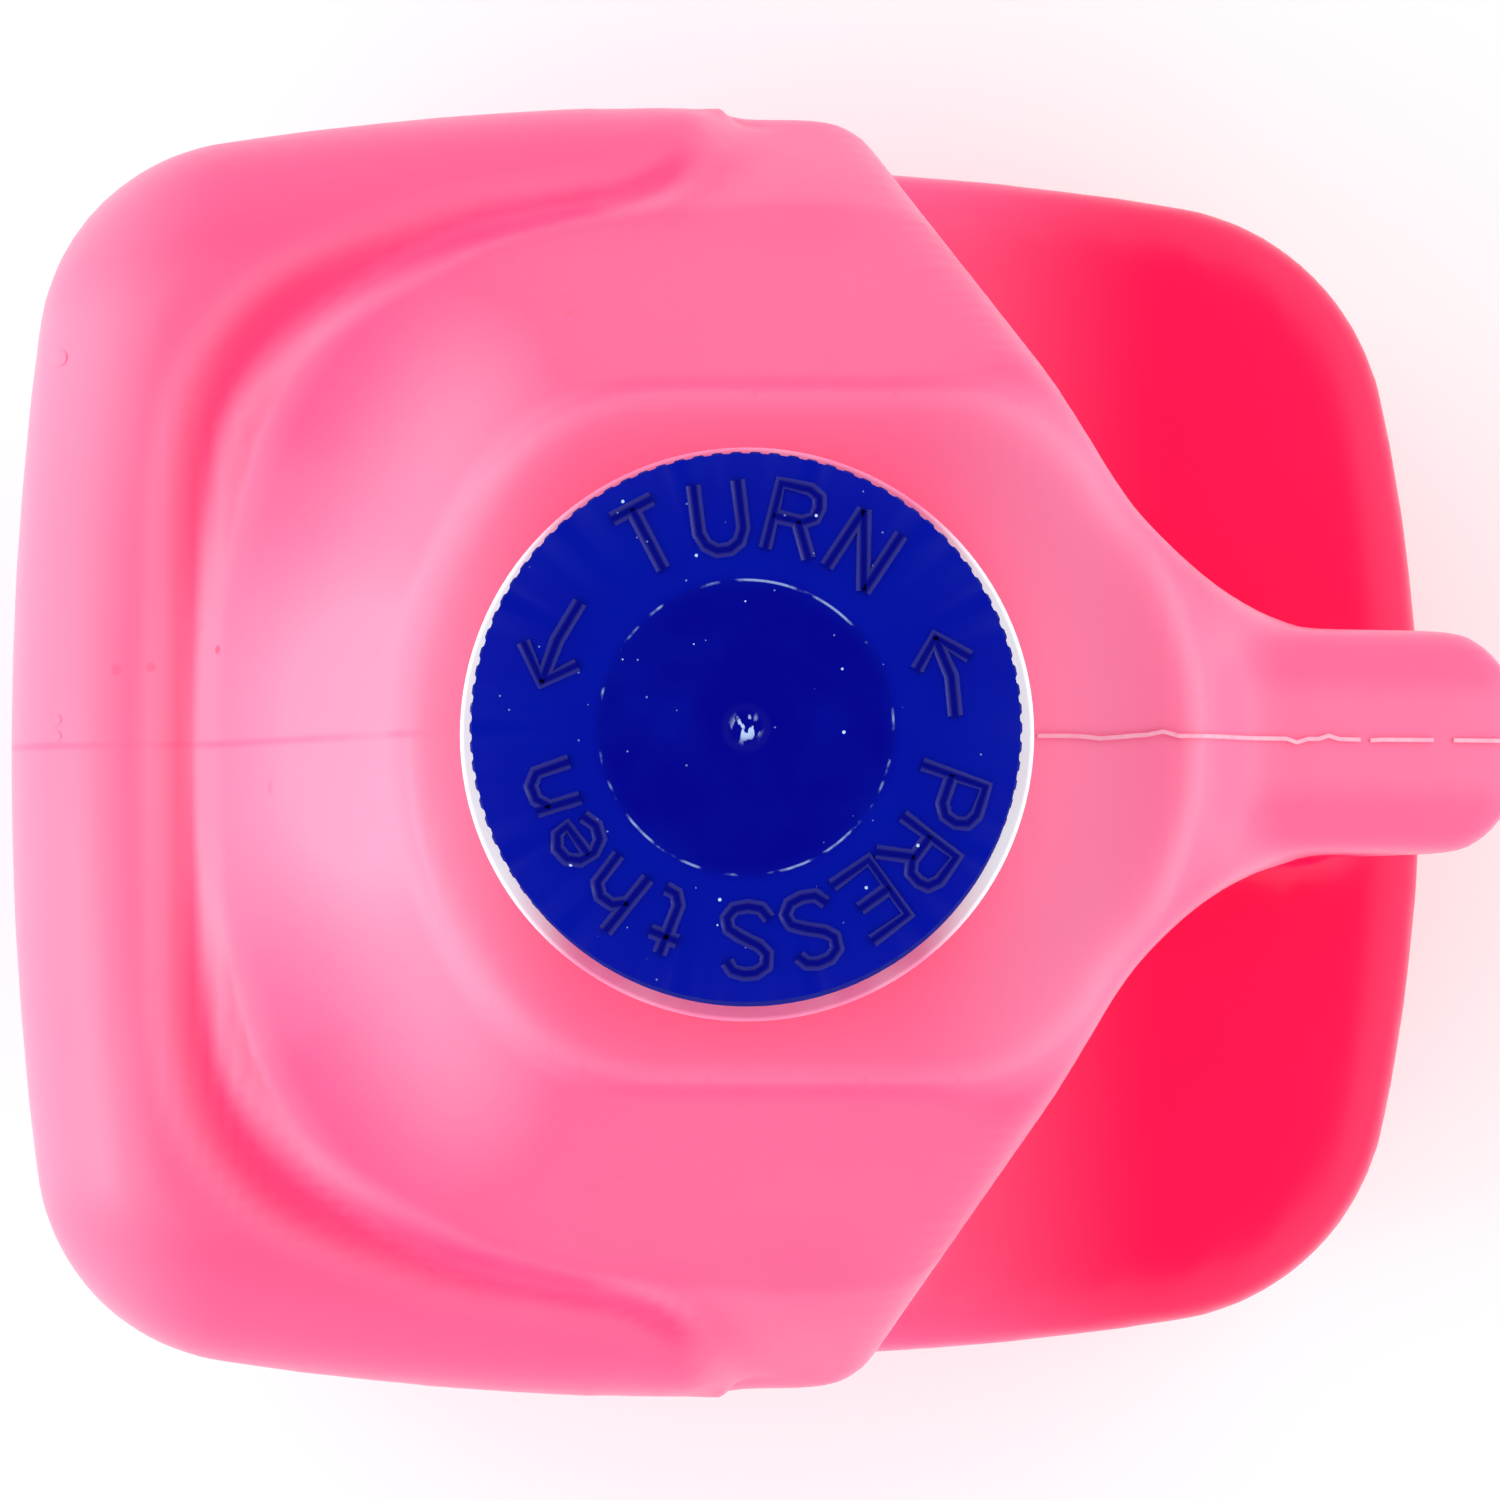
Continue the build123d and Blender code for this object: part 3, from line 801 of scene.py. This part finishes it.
# %% [markdown]
# A blow mould vents through small plugs, which leave an oval pip and two dots on the shoulder.
# Each is a low dome, turned from its profile and set square on the skin where a ray from the
# camera side meets it.

# %% Set the vent marks
vent_marks = ((-62.9, 35.6, 0.85, 0.16, 1.7), (-62.6, 2.6, 0.5, 0.14, 1.0), (-62.6, 1.1, 0.5, 0.14, 1.0))


def low_dome(radius, height, stretch, place, normal):
    """Dome on the skin, stretched along Y."""
    bm = bmesh.new()
    arc = [(radius * cos(t), height * sin(t)) for t in (i * pi / 12 for i in range(7))]
    points = [bm.verts.new((x, 0, z)) for x, z in [(radius, -height)] + arc]
    edges = [bm.edges.new(pair) for pair in zip(points, points[1:])]
    bmesh.ops.spin(bm, geom=edges, cent=(0, 0, 0), axis=(0, 0, 1), angle=2 * pi, steps=20, use_merge=True)
    bmesh.ops.remove_doubles(bm, verts=bm.verts, dist=1e-7)
    bmesh.ops.holes_fill(bm, edges=[e for e in bm.edges if e.is_boundary], sides=0)
    bmesh.ops.recalc_face_normals(bm, faces=bm.faces)
    upright = normal.to_track_quat("Z", "Y").to_matrix().to_4x4()
    bm.transform(Matrix.Translation(place) @ upright @ Matrix.Diagonal((1, stretch, 1, 1)))
    return bm


marks = bmesh.new()
for x, y, radius, height, stretch in vent_marks:
    from_above = Vector((x * MM, y * MM, 0.3))
    _, place_on_skin, normal, _ = bottle_body.ray_cast(from_above, Vector((0, 0, -1)))
    dome = low_dome(radius * MM, height * MM, stretch, place_on_skin, normal)
    dome_mesh = bpy.data.meshes.new("dome")
    dome.to_mesh(dome_mesh)
    dome.free()
    marks.from_mesh(dome_mesh)
    bpy.data.meshes.remove(dome_mesh)
vents = mesh_object("vent_marks", marks)
for polygon in vents.data.polygons:
    polygon.use_smooth = True
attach(vents, "jug")
print("vent marks:", len(vents.data.polygons), "faces")

# %% [markdown]
# Unpigmented HDPE is milky, so the real jug shows white light that the wall scatters back over red
# light that has passed through the dyed alcohol. Here that light and shade is painted into the
# wall's colour. Slopes that face a softbox, the lip, the ridge and the edge of the platform get a
# painted highlight and look pale. The slopes to the front and the back and the groove get painted
# shade, and the floors beside the handle get a deep red painted shade. Both are worked out point by
# point from each point's slope and place. They are kept in two attributes of the mesh, one for the
# painted light and shade and one for the painted shade beside the handle. The material reads them.

# %% Paint light and shade over the skin


def painted_light_and_shade(place, normal):
    """Shares of painted light and of painted shade beside the handle at a point, each 0 to 1."""
    x, y, z = place / MM
    lip_share, groove_share, ridge_share = groove_shape(*place)
    painted_lighting = 0.40
    # Painted highlight on slopes that face the left and the right softboxes.
    painted_lighting += 0.50 * smooth_step(-normal.x, 0.02, 0.75)
    painted_lighting += 0.22 * smooth_step(normal.x, 0.10, 0.80)
    # Painted shade on slopes that face the front and the back.
    side = smooth_step(abs(normal.y), 0.06, 0.38) * (0.35 + 0.65 * smooth_step(z, 149, 157))
    side *= (1 - 0.6 * smooth_step(z, 187, 191)) * (1 - 0.65 * smooth_step(x, 34, 44))
    painted_lighting -= 0.66 * side
    # Painted highlight on the lip and the ridge, painted shade in the groove.
    painted_lighting += 0.25 * lip_share + 0.32 * ridge_share - 0.34 * groove_share
    # Painted highlights on the front of the shoulder, the left slopes, the handle root and the platform edge.
    painted_lighting += 0.30 * hump(x, -52, 5) * hump(y, 0, 34) * hump(z, 150, 8)
    painted_lighting += 0.45 * smooth_step(-x, 12, 28) * smooth_step(z, 160, 185)
    painted_lighting += 0.36 * hump(x, 27, 15) * smooth_step(z, 150, 170) + 0.06 * smooth_step(x, 34, 44)
    painted_lighting += 0.14 * smooth_step(z, 189.5, 191.8)
    painted_lighting += 0.25 * hump(z, 191.2, 0.9) * smooth_step(1 - normal.z, 0.0, 0.04)
    # Deep red painted shade on the floors beside the handle, with a painted rim light on their steep rims.
    low = 1 - smooth_step(z, 96, 140)
    behind = smooth_step(x, -2, 30)
    painted_recess_shade = low * behind * (0.26 + 0.74 * smooth_step(x, 14, 42))
    edge = smooth_step(1 - normal.z, 0.35, 1.0) * low
    edge *= 0.06 + 0.36 * smooth_step(-y, 20, 45)
    return min(max(painted_lighting, 0), 1), min(max(painted_recess_shade - edge, 0), 1)


painted_lighting_values, painted_recess_shade_values = [], []
for vertex in bottle_body.data.vertices:
    painted_lighting, painted_recess_shade = painted_light_and_shade(vertex.co, vertex.normal)
    painted_lighting_values.append(painted_lighting)
    painted_recess_shade_values.append(painted_recess_shade)
for name, values in (("painted_lighting", painted_lighting_values), ("painted_recess_shade", painted_recess_shade_values)):
    bottle_body.data.attributes.new(name, "FLOAT", "POINT").data.foreach_set("value", values)
for name, values in (("painted_lighting", painted_lighting_values), ("painted_recess_shade", painted_recess_shade_values)):
    print("mean", name, round(sum(values) / len(values), 2))

# %% [markdown]
# The wall's finish mixes three reds by those two attributes: the full pink of the dyed alcohol
# just behind the wall, a pale pink that is painted light on the slopes that face the softboxes, and
# a deep red that is painted shade on the floors beside the handle. Light that really travels
# through the wall would do this by itself, but slowly and with grain. A few red spots and the faint
# line of the mould's halves lie on top.

# %% Finish: pink wall with painted light and shade
full_pink = (0.96, 0.046, 0.190)
# The second colour is the pink under painted light, the third the pink in painted shade.
painted_light_pink = (0.96, 0.235, 0.390)
painted_shade_red = (0.96, 0.0, 0.080)

wall, nodes, links, shader = new_material("milky_wall")


def attribute(nodes, name):
    """Value of a float attribute of the mesh."""
    node = nodes.new("ShaderNodeAttribute")
    node.attribute_name = name
    return node.outputs["Fac"]


def spot(nodes, links, place, radius):
    """1 inside a small round spot on the surface, 0 outside it."""
    here = nodes.new("ShaderNodeTexCoord")
    reach = nodes.new("ShaderNodeVectorMath")
    reach.operation = "DISTANCE"
    reach.inputs[1].default_value = place
    links.new(here.outputs["Object"], reach.inputs[0])
    return ramp(nodes, links, reach.outputs["Value"], radius, radius * 0.4)


uneven = object_noise(nodes, links, 16, 2.0)
uneven_share = ramp(nodes, links, uneven, 0.25, 0.75, 0.88, 1.08)
# Painted light and shade from the two attributes, with a little random unevenness.
painted_lighting_share = calculate(nodes, links, "MULTIPLY", attribute(nodes, "painted_lighting"), uneven_share)
colour = blend_colour(nodes, links, painted_lighting_share, full_pink, painted_light_pink)
colour = blend_colour(nodes, links, attribute(nodes, "painted_recess_shade"), colour, painted_shade_red)
red_spots = (
    (-15.3, 36.9, 0.50, 0.9), (-47.6, 8.7, 0.55, 0.6), (-57.0, 7.0, 0.7, 0.3), (-53.8, 7.2, 0.6, 0.3),
    (-41.9, -3.8, 0.8, 0.25),
)
for x, y, radius, strength in red_spots:
    _, on_skin, _, _ = bottle_body.ray_cast(Vector((x * MM, y * MM, 0.3)), Vector((0, 0, -1)))
    share = calculate(nodes, links, "MULTIPLY", spot(nodes, links, on_skin, radius * MM), strength)
    colour = blend_colour(nodes, links, share, colour, (0.86, 0.03, 0.12))
place = nodes.new("ShaderNodeTexCoord")
split = nodes.new("ShaderNodeSeparateXYZ")
links.new(place.outputs["Object"], split.inputs[0])
off_seam = calculate(nodes, links, "ABSOLUTE", calculate(nodes, links, "ADD", split.outputs[1], -0.2 * MM), 0)
seam_line = ramp(nodes, links, off_seam, 0.50 * MM, 0.10 * MM)
seam_front = ramp(nodes, links, split.outputs[0], -0.025, -0.030)
seam_line = calculate(nodes, links, "MULTIPLY", seam_line, seam_front)
seam_breaks = ramp(nodes, links, object_noise(nodes, links, 60, 2.0), 0.35, 0.6, 0.10, 0.55)
seam_line = calculate(nodes, links, "MULTIPLY", seam_line, seam_breaks)
colour = blend_colour(nodes, links, seam_line, colour, (0.94, 0.11, 0.27))
links.new(colour, shader.inputs["Base Color"])
shader.inputs["Roughness"].default_value = 0.33
shader.inputs["Specular IOR Level"].default_value = 0.26
wall_grain = object_noise(nodes, links, 900, 2.0, 0.6)
bump(nodes, links, shader, wall_grain, 0.006 * MM)
# The vent marks are painted pale all over, as painted light.
vent_painted_lighting = vents.data.attributes.new("painted_lighting", "FLOAT", "POINT")
vent_painted_lighting.data.foreach_set("value", [0.9] * len(vents.data.vertices))
for piece in (bottle_body, vents):
    piece.data.materials.append(wall)

# %% [markdown]
# No liquid stands behind the neck, so the bead shows the bare plastic. Its colour carries painted
# light: nearly white to the left and the right, a painted highlight from the side softboxes, and
# pink to the front and the back, a painted reflection of the jug below. The seam's flash is bare
# plastic too.

# %% Finish: bare plastic
bare, nodes, links, shader = new_material("bare_plastic")
place = nodes.new("ShaderNodeTexCoord")
split = nodes.new("ShaderNodeSeparateXYZ")
links.new(place.outputs["Object"], split.inputs[0])
# Painted highlight: the bead is painted near white to the left and the right, pink elsewhere.
reach = calculate(nodes, links, "ABSOLUTE", split.outputs[0], 0)
painted_side_light = ramp(nodes, links, reach, 0.0135, 0.0205)
colour = blend_colour(nodes, links, painted_side_light, (0.84, 0.16, 0.33), (0.92, 0.90, 0.93))
cloud = object_noise(nodes, links, 160, 3.0)
colour = blend_colour(nodes, links, ramp(nodes, links, cloud, 0.35, 0.8, 0.0, 0.25), colour, (0.90, 0.66, 0.74))
links.new(colour, shader.inputs["Base Color"])
shader.inputs["Roughness"].default_value = 0.35
shader.inputs["Specular IOR Level"].default_value = 0.45
bump(nodes, links, shader, object_noise(nodes, links, 500, 3.0), 0.012 * MM)
neck.data.materials.append(bare)
neck_thread.data.materials.append(bare)

flash, nodes, links, shader = new_material("seam_flash")
cloud = object_noise(nodes, links, 900, 3.0)
flash_colour = blend_colour(nodes, links, cloud, (0.90, 0.24, 0.40), (0.92, 0.50, 0.58))
links.new(flash_colour, shader.inputs["Base Color"])
shader.inputs["Roughness"].default_value = 0.45
bump(nodes, links, shader, object_noise(nodes, links, 1500, 2.0), 0.03 * MM)
handle_seam.data.materials.append(flash)

# %% [markdown]
# The closure is polypropylene with a strong blue pigment. It is darker in the middle of the lid and
# on the tops of the words, and a broken pale ring runs round the middle. Handling has left dust and
# pale nicks on it. Dust is a scatter of small dots: a Voronoi texture gives each cell a centre and a
# random number, and only a few cells in a hundred keep their dot.

# %% Finish: blue shell


def specks(nodes, links, scale, size, share):
    """1 inside small dots, 0 elsewhere. Scale is cells per metre, size a share of a cell."""
    place = nodes.new("ShaderNodeTexCoord")
    cells = nodes.new("ShaderNodeTexVoronoi")
    cells.inputs["Scale"].default_value = scale
    links.new(place.outputs["Object"], cells.inputs["Vector"])
    lottery = nodes.new("ShaderNodeSeparateColor")
    links.new(cells.outputs["Color"], lottery.inputs[0])
    near = calculate(nodes, links, "LESS_THAN", cells.outputs["Distance"], size)
    drawn = calculate(nodes, links, "GREATER_THAN", lottery.outputs[0], 1 - share)
    return calculate(nodes, links, "MULTIPLY", near, drawn)


blue, nodes, links, shader = new_material("blue_shell")
place = nodes.new("ShaderNodeTexCoord")
split = nodes.new("ShaderNodeSeparateXYZ")
flat = nodes.new("ShaderNodeCombineXYZ")
length = nodes.new("ShaderNodeVectorMath")
length.operation = "LENGTH"
links.new(place.outputs["Object"], split.inputs[0])
links.new(split.outputs[0], flat.inputs[0])
links.new(split.outputs[1], flat.inputs[1])
links.new(flat.outputs[0], length.inputs[0])
from_middle = ramp(nodes, links, length.outputs["Value"], 0.0105, 0.0125)
colour = blend_colour(nodes, links, from_middle, (0.0, 0.0, 0.215), (0.0, 0.004, 0.285))
cloud = object_noise(nodes, links, 130, 3.0)
colour = blend_colour(nodes, links, ramp(nodes, links, cloud, 0.4, 0.8, 0.0, 0.35), colour, (0.0, 0.008, 0.31))
dust = specks(nodes, links, 520, 0.07, 0.16)
fine_dust = specks(nodes, links, 1300, 0.10, 0.10)
dust = calculate(nodes, links, "MAXIMUM", dust, calculate(nodes, links, "MULTIPLY", fine_dust, 0.35))
ring_radius = 11.55 * MM
off_ring = calculate(nodes, links, "ADD", length.outputs["Value"], -ring_radius)
ring_mark = calculate(nodes, links, "ABSOLUTE", off_ring, 0)
ring_mark = ramp(nodes, links, ring_mark, 0.13 * MM, 0.04 * MM)
broken = ramp(nodes, links, object_noise(nodes, links, 420, 3.0), 0.48, 0.62)
ring_mark = calculate(nodes, links, "MULTIPLY", ring_mark, broken)
gate_mark = ramp(nodes, links, length.outputs["Value"], 1.5 * MM, 0.5 * MM)
gate_noise = object_noise(nodes, links, 1500, 2.0, 0.5, (1.0, 0.55, 1.0))
scratched = ramp(nodes, links, gate_noise, 0.54, 0.60)
gate_mark = calculate(nodes, links, "MULTIPLY", gate_mark, scratched)
pale_marks = calculate(nodes, links, "MAXIMUM", dust, calculate(nodes, links, "MULTIPLY", ring_mark, 0.55))
pale_marks = calculate(nodes, links, "MAXIMUM", pale_marks, calculate(nodes, links, "MULTIPLY", gate_mark, 0.9))
raised = ramp(nodes, links, split.outputs[2], lid_face + 0.05 * MM, lid_face + 0.18 * MM)
on_words = ramp(nodes, links, length.outputs["Value"], 11.9 * MM, 12.3 * MM)
off_rim = ramp(nodes, links, length.outputs["Value"], 20.6 * MM, 20.2 * MM)
raised = calculate(nodes, links, "MULTIPLY", calculate(nodes, links, "MULTIPLY", raised, on_words), off_rim)
raised = calculate(nodes, links, "MULTIPLY", raised, 0.75)
colour = blend_colour(nodes, links, raised, colour, (0.0, 0.0, 0.125))
colour = blend_colour(nodes, links, pale_marks, colour, (0.45, 0.60, 0.88))
links.new(colour, shader.inputs["Base Color"])
shader.inputs["Roughness"].default_value = 0.28
shader.inputs["Specular IOR Level"].default_value = 0.20
bump(nodes, links, shader, object_noise(nodes, links, 600, 3.0, 0.6), 0.008 * MM)
for piece in (outer_shell, lid_words, lid_arrows):
    piece.data.materials.append(blue)

# %% [markdown]
# The last three finishes are seldom seen. The inner shell is unpigmented polypropylene, the liner
# is a white foam with fine pores, and the alcohol is a clear dyed liquid, which here only has to
# be right where the wall is taken away.

# %% Finish: inner shell, liner and alcohol
inner, nodes, links, shader = new_material("inner_shell")
cloud = object_noise(nodes, links, 180, 3.0)
shell_colour = blend_colour(nodes, links, cloud, (0.74, 0.74, 0.71), (0.84, 0.84, 0.82))
links.new(shell_colour, shader.inputs["Base Color"])
shader.inputs["Roughness"].default_value = 0.42
bump(nodes, links, shader, cloud, 0.02 * MM)
shell_thread.data.materials.append(inner)
cad["inner_cap"].data.materials.clear()
cad["inner_cap"].data.materials.append(inner)

foam, nodes, links, shader = new_material("foam")
pores = nodes.new("ShaderNodeTexVoronoi")
pores.inputs["Scale"].default_value = 2600
foam_place = nodes.new("ShaderNodeTexCoord")
links.new(foam_place.outputs["Object"], pores.inputs["Vector"])
foam_colour = blend_colour(nodes, links, pores.outputs["Distance"], (0.86, 0.86, 0.84), (0.93, 0.93, 0.92))
links.new(foam_colour, shader.inputs["Base Color"])
shader.inputs["Roughness"].default_value = 0.85
bump(nodes, links, shader, pores.outputs["Distance"], 0.08 * MM)
cad["cap_liner"].data.materials.clear()
cad["cap_liner"].data.materials.append(foam)

liquid, nodes, links, shader = new_material("pink_alcohol")
cloud = object_noise(nodes, links, 20, 2.0)
liquid_colour = blend_colour(nodes, links, cloud, (0.85, 0.01, 0.09), (0.88, 0.02, 0.12))
links.new(liquid_colour, shader.inputs["Base Color"])
shader.inputs["Roughness"].default_value = 0.08
cad["alcohol"].data.materials.clear()
cad["alcohol"].data.materials.append(liquid)
print("materials:", len(bpy.data.materials))
